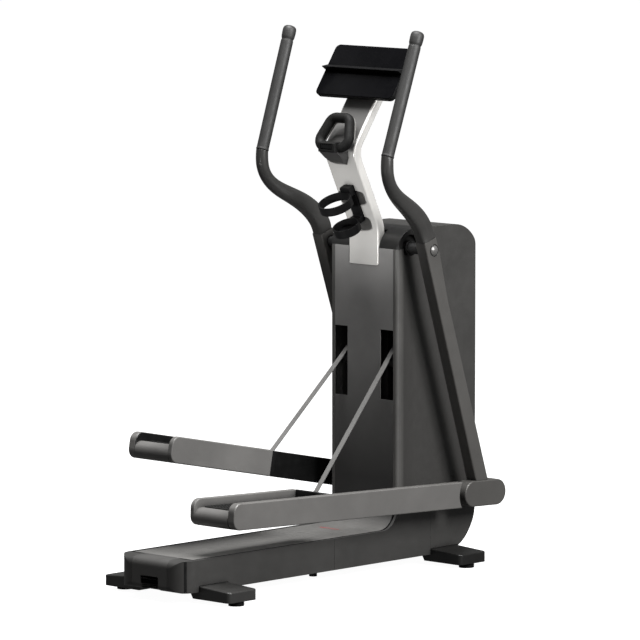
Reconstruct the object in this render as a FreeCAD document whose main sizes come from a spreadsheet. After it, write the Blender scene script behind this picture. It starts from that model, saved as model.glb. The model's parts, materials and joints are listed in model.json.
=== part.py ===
import FreeCAD, Part
import math
import os

# Elliptical trainer with hanging pedals.  Millimetres, +Y towards the tower (the user's forward),
# +X to the user's right, +Z up, origin on the floor at the centre of the footprint.

V = FreeCAD.Vector
doc = FreeCAD.newDocument("elliptical_trainer")

# ---------------------------------------------------------------- driving dimensions
DIMENSIONS = {
    "half_width": 148.0,        # base and tower housing, half of their width
    "wall": 3.0,                # thickness of every plastic shell
    "gap": 0.6,                 # joint line between neighbouring shells
    "base_rear": -713.0,
    "base_low": 38.0,
    "base_top": 140.0,
    "base_corner": 60.0,        # plan radius of the base's rear corners
    "tower_back": 277.0,        # the face turned to the user
    "tower_front": 671.0,
    "tower_top": 1116.0,
    "lid_half": 133.0,
    "groove": 6.0,              # open joint around the base's lid
    "panel_half": 129.0,
    "slot_inner": 73.0,
    "slot_low": 559.0,
    "slot_high": 787.0,
    "seam_high": 1052.0,        # level of the main axle and of the shoulder seam
    "seam_low": 212.0,
    "axle_y": 341.0,
    "axle_rad": 14.0,
    "arm_inner": 207.0,
    "arm_outer": 251.0,
    "swing_right": 18.5,        # lean of each arm in the stored pose, degrees
    "swing_left": 20.2,
    "pivot_back": 77.0,         # pedal pivot behind the arm's own centre line
    "pivot_drop": 832.0,        # pedal pivot below the main axle
    "foot_link": 114.0,         # between the two arc centres of the arm's foot
    "beam_half": 42.5,          # half height of pedal beam and arm foot
    "beam_length": 1125.0,      # pedal pivot to the beam's rear end
    "beam_corner": 30.0,
    "beam_inner": 228.0,
    "beam_outer": 256.0,
    "tray_inner": 62.0,
    "tray_front": 662.0,        # pedal pivot to the tray's front wall
    "tray_floor": 15.0,         # floor of the tray above the beam's centre line
    "pitch_right": 2.1,         # slope of each pedal in the stored pose, degrees
    "pitch_left": 11.2,
    "strap_seat": 624.0,        # pedal pivot to the strap's pin
    "strap_lift": 18.0,
    "strap_side": 120.0,
    "strap_wide": 18.0,
    "strap_thick": 3.0,
    "guide_side": 100.0,
    "guide_y": 315.0,
    "guide_z": 678.0,
    "guide_rad": 18.0,
    "strap_path": 32.0,         # strap's middle from the guide pulley's centre
    "stabiliser_half": 279.0,
    "stabiliser_deep": 128.0,
    "stabiliser_low": 15.0,
    "stabiliser_arch": 41.0,    # underside of each foot bar between its two feet
    "arch_half": 104.0,
    "stabiliser_top": 57.0,
    "rear_bar_y": -639.0,
    "front_bar_y": 439.5,
    "pad_side": 248.0,
    "pad_rad": 25.0,
    "stud_rad": 5.0,
    "mast_half": 66.0,
    "mast_deep": 32.0,
    "console_half": 170.0,
    "console_deep": 22.0,
    "shaft_y": 490.0,
    "shaft_z": 430.0,
    "shaft_rad": 15.0,
    "flywheel_rad": 150.0,
    "drum_rad": 38.0,
    "fit": 0.05,                # radial clearance of every running fit
}

sheet = doc.addObject("Spreadsheet::Sheet", "Dimensions")
for row, (alias, value) in enumerate(DIMENSIONS.items(), start=1):
    sheet.set(f"A{row}", alias)
    sheet.set(f"B{row}", str(value))
    sheet.setAlias(f"B{row}", alias)
doc.recompute()


def dim(alias):
    """The value that the sheet holds under this alias."""
    return float(getattr(sheet, alias))


PARTS = []


def keep(obj, label):
    """Registers a finished sub-part under the name of its node."""
    obj.Label = label
    PARTS.append(obj)
    return obj


def feature(label, shape):
    """A sub-part whose shape is made with Part's own functions."""
    obj = doc.addObject("Part::Feature", label)
    obj.Shape = shape.removeSplitter()
    return keep(obj, label)


# ---------------------------------------------------------------- outline helpers
def rounded_outline(points):
    """A closed wire in the plane of (u, v) pairs; each point is (u, v) or (u, v, radius)."""
    corners = [(V(p[0], p[1], 0), p[2] if len(p) > 2 else 0.0) for p in points]
    edges = []
    first = previous = None
    count = len(corners)
    for i, (corner, radius) in enumerate(corners):
        before = (corners[i - 1][0] - corner).normalize()
        after = (corners[(i + 1) % count][0] - corner).normalize()
        if radius > 0:
            half = before.getAngle(after) / 2
            reach = radius / math.tan(half)
            start = corner + before * reach
            end = corner + after * reach
            bisector = (before + after).normalize()
            middle = corner + bisector * (radius / math.sin(half) - radius)
        else:
            start = end = corner
        if previous is not None and (start - previous).Length > 1e-6:
            edges.append(Part.makeLine(previous, start))
        if radius > 0:
            edges.append(Part.Arc(start, middle, end).toShape())
        if first is None:
            first = start
        previous = end
    if (previous - first).Length > 1e-6:
        edges.append(Part.makeLine(previous, first))
    return Part.Wire(edges)


def side_plate(points, x_from, x_to):
    """Solid between two X planes whose outline is given in (Y, Z)."""
    face = Part.Face(rounded_outline(points))
    face.rotate(V(0, 0, 0), V(1, 1, 1), 120)
    face.translate(V(x_from, 0, 0))
    return face.extrude(V(x_to - x_from, 0, 0))


def plan_plate(points, z_from, z_to):
    """Solid between two heights whose outline is given in (X, Y)."""
    face = Part.Face(rounded_outline(points))
    face.translate(V(0, 0, z_from))
    return face.extrude(V(0, 0, z_to - z_from))


def front_plate(points, y_from, y_to):
    """Solid between two Y planes whose outline is given in (X, Z)."""
    face = Part.Face(rounded_outline(points))
    face.rotate(V(0, 0, 0), V(1, 0, 0), 90)
    face.translate(V(0, y_to, 0))
    return face.extrude(V(0, y_from - y_to, 0))


def block(x_from, x_to, y_from, y_to, z_from, z_to):
    """Box between three pairs of planes."""
    corner = V(min(x_from, x_to), min(y_from, y_to), min(z_from, z_to))
    return Part.makeBox(abs(x_to - x_from), abs(y_to - y_from), abs(z_to - z_from), corner)


def rod(radius, x_from, x_to, y, z):
    """Round bar along X."""
    return Part.makeCylinder(radius, abs(x_to - x_from), V(min(x_from, x_to), y, z), V(1, 0, 0))


def tube(outer, inner, x_from, x_to, y, z):
    """Round sleeve along X."""
    return rod(outer, x_from, x_to, y, z).cut(rod(inner, x_from - 1, x_to + 1, y, z))


def mirrored(shape):
    """The same shape on the user's left."""
    return shape.mirror(V(0, 0, 0), V(1, 0, 0))


# ---------------------------------------------------------------- housing shells
def ellipse_corner(centre_y, centre_z, reach_y, reach_z, steps):
    """Points of the tower's elliptical lower front corner, from its front down to its underside."""
    points = []
    for step in range(steps + 1):
        angle = math.pi / 2 * step / steps
        points.append((centre_y + reach_y * math.cos(angle), centre_z - reach_z * math.sin(angle)))
    return points


def tower_solid(inset):
    """Tower housing, shrunk by an inset on every outer face."""
    half = dim("half_width") - inset
    back = dim("tower_back") + inset
    front = dim("tower_front") - inset
    top = dim("tower_top") - inset
    low = dim("base_low") + 10 + inset
    outline = [(back, low), (back, top, 75 - inset), (front, top, 120 - inset)]
    outline += ellipse_corner(540, 260, front - 540, 260 - low, 12)
    side = side_plate(outline, -half, half)
    plan = plan_plate([(-half, back, 10 - inset), (half, back, 10 - inset),
                       (half, front, 26 - inset), (-half, front, 26 - inset)], 0, 1200)
    return side.common(plan)


def base_solid(inset):
    """Base housing, shrunk by an inset on every outer face."""
    half = dim("half_width") - inset
    rear = dim("base_rear") + inset
    top = dim("base_top") - inset
    low = dim("base_low") + inset
    reach = 540.0
    side = side_plate([(rear, low, 18 - inset), (rear, top, 26 - inset), (reach, top), (reach, low)], -half, half)
    corner = dim("base_corner") - inset
    plan = plan_plate([(-half, rear, corner), (half, rear, corner), (half, reach), (-half, reach)], 0, 200)
    return side.common(plan)


def cove_solid(inset):
    """Concave sweep between the base's top and the tower's back."""
    half = dim("half_width") - inset
    back = dim("tower_back") + inset
    top = dim("base_top") - inset
    radius = 68.0 + inset
    corner = block(-half, half, back - radius, back + 5, top - 5, top + radius)
    return corner.cut(rod(radius, -half - 1, half + 1, back - radius, top + radius))


def recess_solid(inset):
    """Sculpted hollow in the tower's right side, behind the swinging arm."""
    depth = 18.0 + inset
    floor = dim("half_width") - depth
    edge = 296.0 - inset
    level = dim("seam_high")
    outline = [(edge, 262 - inset), (638 + inset, 262 - inset), (412 + inset, level), (edge, level)]
    hollow = side_plate(outline, floor, 170)
    hollow = hollow.fuse(rod(45 + inset, floor, 170, dim("axle_y"), level))
    start = Part.makeLine(V(170, edge, 0), V(dim("half_width") + 0.1, edge, 0))
    sweep = Part.Arc(V(dim("half_width") + 0.1, edge, 0), V(floor + 4.5, edge + 42, 0), V(floor, edge + 96, 0))
    floor_line = Part.makeLine(V(floor, edge + 96, 0), V(floor, 700, 0))
    far = Part.makeLine(V(floor, 700, 0), V(170, 700, 0))
    close = Part.makeLine(V(170, 700, 0), V(170, edge, 0))
    plan = Part.Face(Part.Wire([start, sweep.toShape(), floor_line, far, close])).extrude(V(0, 0, 1200))
    return hollow.common(plan)


def housing(inset):
    """Whole housing volume with its two side recesses."""
    body = tower_solid(inset).fuse(base_solid(inset)).fuse(cove_solid(inset))
    recess = recess_solid(inset)
    return body.cut(recess).cut(mirrored(recess))


def stabiliser_clearance():
    """Room for the two foot bars under the housing."""
    deep = dim("stabiliser_deep")
    top = dim("stabiliser_top") + 1
    rear = dim("rear_bar_y")
    front = dim("front_bar_y")
    return block(-300, 300, rear - 1, rear + deep + 1, 0, top).fuse(
        block(-300, 300, front - 1, front + deep + 1, 0, top))


SHELL = housing(0).cut(housing(dim("wall"))).cut(stabiliser_clearance())
GAP = dim("gap")


def shell_piece(region, *openings):
    """The part of the shell inside a region, less its openings."""
    piece = SHELL.common(region)
    for opening in openings:
        piece = piece.cut(opening)
    return piece


def cowl_region(shift):
    """Everything in front of the diagonal seam that follows the arm, from a shift behind it."""
    level = dim("seam_high")
    low = dim("seam_low")
    region = side_plate([(440, 0), (700, 0), (700, 1200), (412, 1200), (412, level), (638, 262), (638, low),
                         (440, low)], -160, 160)
    region.translate(V(0, -shift, 0))
    return region


def mast_clearance():
    """Opening for the mast's foot in the panel and the shoulder cover."""
    half = dim("mast_half") + GAP
    return front_plate([(-half, 995 - GAP, 11), (half, 995 - GAP, 11), (half, 1160), (-half, 1160)], 270, 320)


def slot_opening():
    """Right strap slot through the user's panel."""
    return block(dim("slot_inner"), dim("panel_half") + 0.1, 270, 290, dim("slot_low"), dim("slot_high"))


def lid_region(grow):
    """Volume of the base's flat lid."""
    half = dim("lid_half") + grow
    return block(-half, half, -652 - grow, dim("tower_back") + 4, 128, dim("seam_low") - 4 + grow)


def panel_region(grow):
    """Volume of the user's panel."""
    half = dim("panel_half") + grow
    return block(-half, half, 270, 290, dim("seam_low") - 4, dim("seam_high") + grow)


def tail_region(grow):
    """Centre section of the base's rear end."""
    half = 78 + grow
    return block(-half, half, -720, -652, 20, 150)


def make_base_covers():
    """Side shells, lid and tail of the base."""
    sides = block(0, 160, -720, 440 - GAP, 20, dim("seam_low"))
    seam = block(147, 150, -20.5, -19.5, 20, 150)
    pad_opening = block(-41, 41, -7, 33, 30, 45)
    right = shell_piece(sides, lid_region(dim("groove")), panel_region(GAP), tail_region(GAP), seam, pad_opening)
    ledge = housing(dim("wall") + 0.4).cut(housing(dim("wall") + 3))
    right = right.fuse(ledge.common(block(126, 146, -640, dim("tower_back") - 8, 110, dim("seam_low"))))
    feature("base_shell_right", right)
    feature("base_shell_left", mirrored(right))
    lid = shell_piece(lid_region(0), tail_region(GAP))
    feature("base_lid", lid)
    notch = front_plate([(-39, 20), (39, 20), (39, 82, 5), (-39, 82, 5)], -720, -690)
    feature("tail_cover", shell_piece(tail_region(0), notch))


def make_tower_covers():
    """Panel, side columns, shoulder cover and front cowl of the tower."""
    panel = shell_piece(panel_region(0), slot_opening(), mirrored(slot_opening()), mast_clearance())
    feature("tower_panel", panel)
    column = block(0, 160, 270, 700, dim("seam_low") + GAP, dim("seam_high"))
    right = shell_piece(column, panel_region(GAP), cowl_region(GAP), slot_opening())
    feature("column_shell_right", right)
    feature("column_shell_left", mirrored(right))
    axle_hole = rod(dim("axle_rad") + 10.5, -170, 170, dim("axle_y"), dim("seam_high"))
    top = block(-160, 160, 270, 412 - GAP, dim("seam_high") + GAP, 1200)
    feature("shoulder_cover", shell_piece(top, mast_clearance(), axle_hole))
    inlet = block(-25.5, 25.5, 640, 700, 299.5, 332.5)
    feature("front_cowl", shell_piece(cowl_region(0), inlet))


def cut_axle_holes():
    """Round holes for the axle's collars in both side columns."""
    hole = rod(dim("axle_rad") + 10.5, -170, 170, dim("axle_y"), dim("seam_high"))
    for obj in PARTS:
        if obj.Label in ("column_shell_right", "column_shell_left"):
            obj.Shape = obj.Shape.cut(hole)


# ---------------------------------------------------------------- steel structure
def make_base_frame():
    """Welded spine with the saddles that the foot bars bolt to."""
    spine = block(-50, 50, -640, 580, 66, 126).cut(block(-46, 46, -641, 581, 70, 122))
    deep = dim("stabiliser_deep")
    top = dim("stabiliser_top")
    frame = spine
    for start in (dim("rear_bar_y"), dim("front_bar_y")):
        frame = frame.fuse(block(-110, 110, start + 14, start + deep - 14, top, 66.5))
    feature("base_frame", frame)


def make_tower_frame():
    """Two uprights, the axle housing, the pulley pins and the shaft plates."""
    high = dim("seam_high")
    axle_y = dim("axle_y")
    frame = tube(25, dim("axle_rad") + dim("fit"), -117, 117, axle_y, high)
    for side in (-1, 1):
        upright = block(side * 40, side * 76, 309, 345, 126, high - 10)
        frame = frame.fuse(upright.cut(rod(25, -120, 120, axle_y, high)))
        frame = frame.fuse(rod(6, side * 70, side * 114, dim("guide_y"), dim("guide_z")))
        for low, high_edge in ((390, 470), (590, 630)):
            frame = frame.fuse(block(side * 40, side * 46, 330, 530, low, high_edge))
    frame = frame.cut(rod(dim("shaft_rad") + dim("fit"), -60, 60, dim("shaft_y"), dim("shaft_z")))
    frame = frame.fuse(block(-76, 76, 307, 345, 980, 1020))
    feature("tower_frame", frame)


def stabiliser(label, start):
    """Cross bar on the floor: a padded body whose top falls towards its ends."""
    body = doc.addObject("PartDesign::Body", label + "_body")
    plane = [f for f in body.Origin.OriginFeatures if f.Role == "XZ_Plane"][0]
    sketch = body.newObject("Sketcher::SketchObject", label + "_outline")
    sketch.AttachmentSupport = [(plane, "")]
    sketch.MapMode = "FlatFace"
    half = dim("stabiliser_half")
    low = dim("stabiliser_low")
    top = dim("stabiliser_top")
    arch = dim("stabiliser_arch")
    inner = dim("arch_half")
    corners = [V(-half, low, 0), V(-inner - 16, low, 0), V(-inner, arch, 0), V(inner, arch, 0), V(inner + 16, low, 0),
               V(half, low, 0), V(half, top - 8, 0), V(150, top, 0), V(-150, top, 0), V(-half, top - 8, 0)]
    for i, corner in enumerate(corners):
        sketch.addGeometry(Part.LineSegment(corner, corners[(i + 1) % len(corners)]), False)
    pad = body.newObject("PartDesign::Pad", label + "_pad")
    pad.Profile = sketch
    pad.setExpression("Length", "Dimensions.stabiliser_deep")
    doc.recompute()
    upright = [f"Edge{i + 1}" for i, e in enumerate(pad.Shape.Edges)
               if e.BoundBox.ZLength > 20 and e.BoundBox.XLength < 1 and abs(e.CenterOfMass.x) > inner + 20]
    corners_round = body.newObject("PartDesign::Fillet", label + "_corners")
    corners_round.Base = (pad, upright)
    corners_round.Radius = 14
    body.Tip = corners_round
    doc.recompute()
    rim = [f"Edge{i + 1}" for i, e in enumerate(corners_round.Shape.Edges)
           if e.BoundBox.ZMin > top - 9.5]
    soft_top = body.newObject("PartDesign::Fillet", label + "_rim")
    soft_top.Base = (corners_round, rim)
    soft_top.Radius = 4
    body.Tip = soft_top
    doc.recompute()
    box = body.Shape.BoundBox
    shape = body.Shape.copy()
    shape.translate(V(0, start - box.YMin, 0))
    for side in (-1, 1):
        centre = V(side * dim("pad_side"), start + dim("stabiliser_deep") / 2, low - 1)
        core = block(side * (inner + 20), side * (half - 16), start + 5, start + dim("stabiliser_deep") - 5,
                     low + 5, top - 13)
        shape = shape.cut(core.cut(Part.makeCylinder(12, 40, centre)))
        shape = shape.cut(Part.makeCylinder(dim("stud_rad") + dim("fit"), 31, centre))
    return shape


def make_levelling_feet():
    """Four screw feet: rubber-shod discs on studs."""
    stations = {
        "levelling_foot_rear_right": (1, "rear_bar_y"),
        "levelling_foot_rear_left": (-1, "rear_bar_y"),
        "levelling_foot_front_right": (1, "front_bar_y"),
        "levelling_foot_front_left": (-1, "front_bar_y"),
    }
    for label, (side, bar) in stations.items():
        disc = doc.addObject("Part::Cylinder", label + "_disc")
        disc.setExpression("Radius", "Dimensions.pad_rad")
        disc.Height = 12
        stud = doc.addObject("Part::Cylinder", label + "_stud")
        stud.setExpression("Radius", "Dimensions.stud_rad")
        stud.Height = 40
        foot = doc.addObject("Part::Fuse", label)
        foot.Base = disc
        foot.Tool = stud
        foot.setExpression("Placement.Base.x", f"{side} * Dimensions.pad_side")
        foot.setExpression("Placement.Base.y", f"Dimensions.{bar} + Dimensions.stabiliser_deep / 2")
        keep(foot, label)


def make_centre_pad():
    """Small support under the middle of the base."""
    saddle = block(-38, 38, -4, 30, 16, 66).cut(block(-30, 30, -10, 40, 24, 60))
    feature("centre_pad", saddle.fuse(Part.makeCylinder(13, 16, V(-22, 13, 2))).fuse(
        Part.makeCylinder(13, 16, V(22, 13, 2))))


def make_stabilisers():
    """Rear bar, front bar with its wheel brackets, and the two transport wheels."""
    feature("rear_stabiliser", stabiliser("rear_stabiliser", dim("rear_bar_y")))
    y = dim("front_bar_y") + dim("stabiliser_deep") + 24
    roller = tube(20, 6 + dim("fit"), 96, 112, y, 26)
    feature("transport_wheels", roller.fuse(mirrored(roller)))
    arms = block(84, 94, y - 26, y + 8, 18, 44)
    bar = stabiliser("front_stabiliser", dim("front_bar_y"))
    feature("front_stabiliser", bar.fuse(rod(6, -118, 118, y, 26)).fuse(arms).fuse(mirrored(arms)))


def make_main_axle():
    """Fixed cross axle with its two collars, and the domed caps on its ends."""
    y = dim("axle_y")
    z = dim("seam_high")
    half = dim("arm_outer") + 0.4
    axle = rod(dim("axle_rad"), -half, half, y, z)
    collar = tube(24, dim("axle_rad") - 0.5, 118, dim("arm_inner") - 0.5, y, z)
    slim = tube(60, 17, 150, dim("arm_inner") + 1, y, z)
    collar = collar.cut(slim)
    feature("main_axle", axle.fuse(collar).fuse(mirrored(collar)))
    dome = Part.makeSphere(24, V(half - 17, y, z)).common(rod(17, half, half + 12, y, z))
    feature("axle_caps", dome.fuse(mirrored(dome)))


# ---------------------------------------------------------------- mast, console and what they carry
MAST_FRONT = [(275.0, 995.0), (275.0, 1118.0), (150.0, 1374.0), (296.0, 1580.0)]


def offset_line(points, distance):
    """The polyline moved forward by a distance, corner by corner."""
    moved = []
    for i, (y, z) in enumerate(points):
        normals = []
        for a, b in ((i - 1, i), (i, i + 1)):
            if a < 0 or b >= len(points):
                continue
            run = V(points[b][0] - points[a][0], points[b][1] - points[a][1], 0).normalize()
            normals.append(V(run.y, -run.x, 0))
        mean = normals[0] if len(normals) == 1 else (normals[0] + normals[1]).normalize()
        reach = distance / mean.dot(normals[0])
        moved.append((y + mean.x * reach, z + mean.y * reach))
    return moved


def mast_outline(inset):
    """Outline of the mast in (Y, Z), shrunk by an inset."""
    near = offset_line(MAST_FRONT, inset)
    far = offset_line(MAST_FRONT, dim("mast_deep") - inset)
    near_radii = (0, 110, 70, 0)
    far_radii = (0, 110, 50, 0)
    front = [(y, z, r) if r else (y, z) for (y, z), r in zip(near, near_radii)]
    back = [(y, z, r) if r else (y, z) for (y, z), r in zip(far, far_radii)]
    return front + back[::-1]


def make_mast():
    """Bent box mast, open at both ends, with softened edges."""
    half = dim("mast_half")
    outer = side_plate(mast_outline(0), -half, half)
    long_edges = [e for e in outer.Edges if abs(abs(e.CenterOfMass.x) - half) < 0.01 and e.BoundBox.XLength < 0.01
                  and e.BoundBox.ZLength > 20]
    outer = outer.makeFillet(6, long_edges)
    outer = outer.common(front_plate([(-half, 995, 10), (half, 995, 10), (half, 1700), (-half, 1700)], 100, 400))
    inner = side_plate(mast_outline(4), -half + 4, half - 4)
    feature("mast", outer.cut(inner))


CONSOLE_LOW = (221.0, 1545.0)
CONSOLE_HIGH = (329.0, 1702.0)


def console_frame():
    """Unit vectors up the console's face and out of it, towards the user, in (Y, Z)."""
    run = V(0, CONSOLE_HIGH[0] - CONSOLE_LOW[0], CONSOLE_HIGH[1] - CONSOLE_LOW[1])
    length = run.Length
    run.normalize()
    return run, V(0, -run.z, run.y), length


def console_plate(half, low, high, back, front, radius):
    """Rounded plate parallel to the console's face: low and high along it, back and front across it."""
    up, out, _ = console_frame()
    origin = V(0, *CONSOLE_LOW)
    corners = [(-half, low, radius), (half, low, radius), (half, high, radius), (-half, high, radius)]
    face = Part.Face(rounded_outline(corners))
    matrix = FreeCAD.Matrix(1, 0, 0, origin.x, 0, up.y, out.y, origin.y, 0, up.z, out.z, origin.z, 0, 0, 0, 1)
    face.Placement = FreeCAD.Placement(matrix)
    face.translate(out * back)
    return face.extrude(out * (front - back))


def make_console():
    """Tilted display: housing with its neck, glass and tablet shelf."""
    up, out, length = console_frame()
    half = dim("console_half")
    deep = dim("console_deep")
    body = console_plate(half, 0, length, -deep, -2.2, 18)
    body = body.makeFillet(7, [e for e in body.Edges if e.BoundBox.XLength > 100
                               and e.CenterOfMass.dot(out) < V(0, *CONSOLE_LOW).dot(out) - deep + 1])
    neck = console_plate(48, 20, 62, -deep - 22, -deep + 4, 8)
    body = body.fuse(neck)
    mast = side_plate(mast_outline(-0.05), -dim("mast_half") - 5, dim("mast_half") + 5)
    feature("console_housing", body.cut(mast))
    feature("console_screen", console_plate(half - 2, 2, length - 2, -2.2, 0, 16))
    tip = V(0, 254, 1634)
    root = V(0, *CONSOLE_LOW) + up * 112
    foot = V(0, *CONSOLE_LOW) + up * 92
    shelf = side_plate([(tip.y, tip.z, 1.2), (root.y, root.z), (foot.y, foot.z)], -half + 1, half - 1)
    feature("tablet_shelf", shelf.cut(console_plate(half + 9, -5, length, -20, 0.05, 0)))


LOOP_TOP = V(0, 170, 1478)
LOOP_LOW = V(0, 126, 1387)


def loop_pipe(radius, forward):
    """Closed tube along the loop handle's centre line, moved forward from it."""
    up = (LOOP_TOP - LOOP_LOW)
    high = up.Length
    up.normalize()
    wire = rounded_outline([(-73, 0, 27), (73, 0, 27), (38, high, 27), (-38, high, 27)])
    normal = V(0, up.z, -up.y)
    matrix = FreeCAD.Matrix(1, 0, 0, 0, 0, up.y, -normal.y, LOOP_LOW.y, 0, up.z, -normal.z, LOOP_LOW.z, 0, 0, 0, 1)
    wire.Placement = FreeCAD.Placement(matrix)
    wire.translate(normal * forward)
    solids = []
    for edge in wire.Edges:
        start = edge.valueAt(edge.FirstParameter)
        tangent = edge.tangentAt(edge.FirstParameter)
        section = Part.Wire(Part.makeCircle(radius, start, tangent))
        solids.append(Part.Wire(edge).makePipeShell([section], True, True))
    return solids[0].multiFuse(solids[1:]).removeSplitter()


def make_loop_handle():
    """Fixed loop grip with its sensor strip, bracket and rocker key."""
    pod = block(-38, 38, 98, 140, 1371, 1403)
    pod = pod.makeFillet(5, [e for e in pod.Edges if e.CenterOfMass.y < 100])
    grip = loop_pipe(16.5, 0).fuse(pod)
    key_room = block(-26, 26, 90, 104.8, 1380, 1398)
    grip = grip.cut(key_room)
    feature("loop_grip", grip)
    strip = loop_pipe(14.5, 9).cut(loop_pipe(16.55, 0)).cut(block(-80, 80, 90, 200, 1360, 1402))
    solids = sorted(strip.Solids, key=lambda s: s.Volume)
    feature("loop_sensor", solids[-1])
    wedge = side_plate([(106, 1370.5), (150, 1334), (176, 1326), (172, 1370.5)], -38, 38)
    wedge = wedge.common(front_plate([(-38, 1372), (-38, 1350), (-22, 1325), (22, 1325), (38, 1350), (38, 1372)],
                                     90, 190))
    mast = side_plate(mast_outline(-0.05), -dim("mast_half") - 5, dim("mast_half") + 5)
    feature("loop_bracket", wedge.cut(mast).cut(loop_pipe(16.55, 0)))
    key = side_plate([(98.5, 1382, 1.5), (98.5, 1396, 1.5), (103.4, 1396), (103.4, 1382)], -24, 24)
    feature("rocker_key", key)


def make_bottle_holder():
    """Bottle ring, cup and back plate, parallel to the mast's lower run."""
    low = V(0, *MAST_FRONT[1])
    up = (V(0, *MAST_FRONT[2]) - low).normalize()
    out = V(0, -up.z, up.y)
    ring_at = low + up * 131 + out * 83
    cup_at = low + up * 34 + out * 71
    ring = Part.makeCylinder(56, 28, ring_at - up * 14, up).cut(Part.makeCylinder(51, 40, ring_at - up * 20, up))
    cup = Part.makeCylinder(45, 28, cup_at - up * 14, up).cut(Part.makeCylinder(41, 40, cup_at - up * 10, up))
    cup = cup.cut(Part.makeCylinder(9, 60, cup_at - up * 30, up))
    plate = side_plate([(0, 0, 5), (0, 131, 5), (27.5, 131, 5), (27.5, 0, 5)], -20, 20)
    plate = plate.cut(side_plate([(9, 19, 4), (9, 101, 4), (40, 101), (40, 19)], -30, 30))
    start = low + up * 27 + out * 0.05
    turn = FreeCAD.Matrix(-1, 0, 0, 0, 0, out.y, up.y, start.y, 0, out.z, up.z, start.z, 0, 0, 0, 1)
    plate.Placement = FreeCAD.Placement(turn)
    plate = plate.cut(Part.makeCylinder(51, 40, ring_at - up * 20, up))
    plate = plate.cut(Part.makeCylinder(41, 60, cup_at - up * 10, up))
    feature("bottle_holder", ring.fuse(cup).fuse(plate))


# ---------------------------------------------------------------- drive inside the tower
def turned_body(label, outline, x, y, z):
    """A PartDesign body turned about its own axis, then laid along X; outline is (radius, along)."""
    body = doc.addObject("PartDesign::Body", label)
    plane = [f for f in body.Origin.OriginFeatures if f.Role == "XZ_Plane"][0]
    sketch = body.newObject("Sketcher::SketchObject", label + "_half")
    sketch.AttachmentSupport = [(plane, "")]
    sketch.MapMode = "FlatFace"
    corners = [V(radius, along, 0) for radius, along in outline]
    for i, corner in enumerate(corners):
        sketch.addGeometry(Part.LineSegment(corner, corners[(i + 1) % len(corners)]), False)
    turn = body.newObject("PartDesign::Revolution", label + "_turn")
    turn.Profile = sketch
    turn.ReferenceAxis = (sketch, ["V_Axis"])
    turn.Angle = 360
    body.Placement = FreeCAD.Placement(V(x, y, z), FreeCAD.Rotation(V(0, 1, 0), 90))
    doc.recompute()
    return keep(body, label)


def make_drive():
    """Shaft and flywheel, the two strap drums, the guide pulleys and the brake."""
    y = dim("shaft_y")
    z = dim("shaft_z")
    bore = dim("shaft_rad")
    feature("drive_shaft", rod(bore, -118, 118, y, z))
    rim = dim("flywheel_rad")
    turned_body("flywheel", [(bore, -28), (40, -28), (40, -9), (rim - 26, -9), (rim - 26, -16), (rim, -16),
                             (rim, 16), (rim - 26, 16), (rim - 26, 9), (40, 9), (40, 28), (bore, 28)], 0, y, z)
    drum = dim("drum_rad")
    pulley = dim("guide_rad")
    hole = bore + dim("fit")
    pin = 6 + dim("fit")
    for name, side in (("right", 1), ("left", -1)):
        turned_body("strap_drum_" + name, [(hole, -14), (drum + 8, -14), (drum + 8, -11), (drum, -11), (drum, 11),
                                           (drum + 8, 11), (drum + 8, 14), (hole, 14)],
                    side * dim("guide_side"), y, z)
        turned_body("guide_pulley_" + name, [(pin, -11), (pulley, -11), (pulley, 11), (pin, 11)],
                    side * dim("guide_side"), dim("guide_y"), dim("guide_z"))
    yoke = tube(rim + 26, rim + 4, -24, 24, y, z).common(block(-30, 30, y - 30, y + 120, z + 60, z + 200))
    feature("brake_magnet", yoke.fuse(block(-40, 40, y - 24, y + 10, z + rim + 20, z + rim + 44)))
    feature("power_inlet", block(-25, 25, 648, 672, 300, 332).cut(block(-17, 17, 655, 680, 306, 326)))


# ---------------------------------------------------------------- arms and pedals
def arm_placement(swing):
    """Turns the upright arm about the main axle; its lower end moves forward."""
    centre = V(0, dim("axle_y"), dim("seam_high"))
    return FreeCAD.Rotation(V(1, 0, 0), swing), centre


def place_on_arm(shape, swing):
    """Moves a shape drawn about the axle (Y forward, Z up from it) into the stored pose."""
    rotation, centre = arm_placement(swing)
    shape.Placement = FreeCAD.Placement(centre, rotation).multiply(shape.Placement)
    return shape


def pedal_pivot(swing):
    """Place of the pedal's pivot in the stored pose."""
    rotation, centre = arm_placement(swing)
    return centre + rotation.multVec(V(0, -dim("pivot_back"), -dim("pivot_drop")))


def lean_section(y, z, x, across, thick, lean, power):
    """Closed smooth section of the handle bar; power 2 is an ellipse, more is squarer."""
    tilt = FreeCAD.Rotation(V(1, 0, 0), lean)
    count = 24
    points = []
    for i in range(count):
        angle = 2 * math.pi * i / count
        c = math.cos(angle)
        s = math.sin(angle)
        u = math.copysign(abs(c) ** (2 / power), c) * thick / 2
        v = math.copysign(abs(s) ** (2 / power), s) * across / 2
        points.append(V(x, y, z) + tilt.multVec(V(u, v, 0)))
    curve = Part.BSplineCurve()
    curve.interpolate(points, PeriodicFlag=True)
    return Part.Wire(curve.toShape())


# centre line of the handle bar about the axle: forward, up, out, width across, thickness, lean, squareness
HANDLE_SECTIONS = [
    (-6, 39, 229, 58, 44, 2, 5.0),
    (-12, 90, 230, 62, 43, 12, 4.6),
    (-38, 142, 235, 60, 42, 32, 3.8),
    (-82, 196, 246, 53, 41, 42, 3.0),
    (-124, 245, 261, 46, 41, 34, 2.4),
    (-147, 292, 270, 42, 41, 8, 2.0),
    (-149, 335, 273, 41, 41, -16, 2.0),
    (-134, 380, 273, 40, 40, -37, 2.0),
]
GRIP_SIDE = 273.0
GRIP_START = V(GRIP_SIDE, -134, 380)
GRIP_END = V(GRIP_SIDE, 116, 692)


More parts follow.
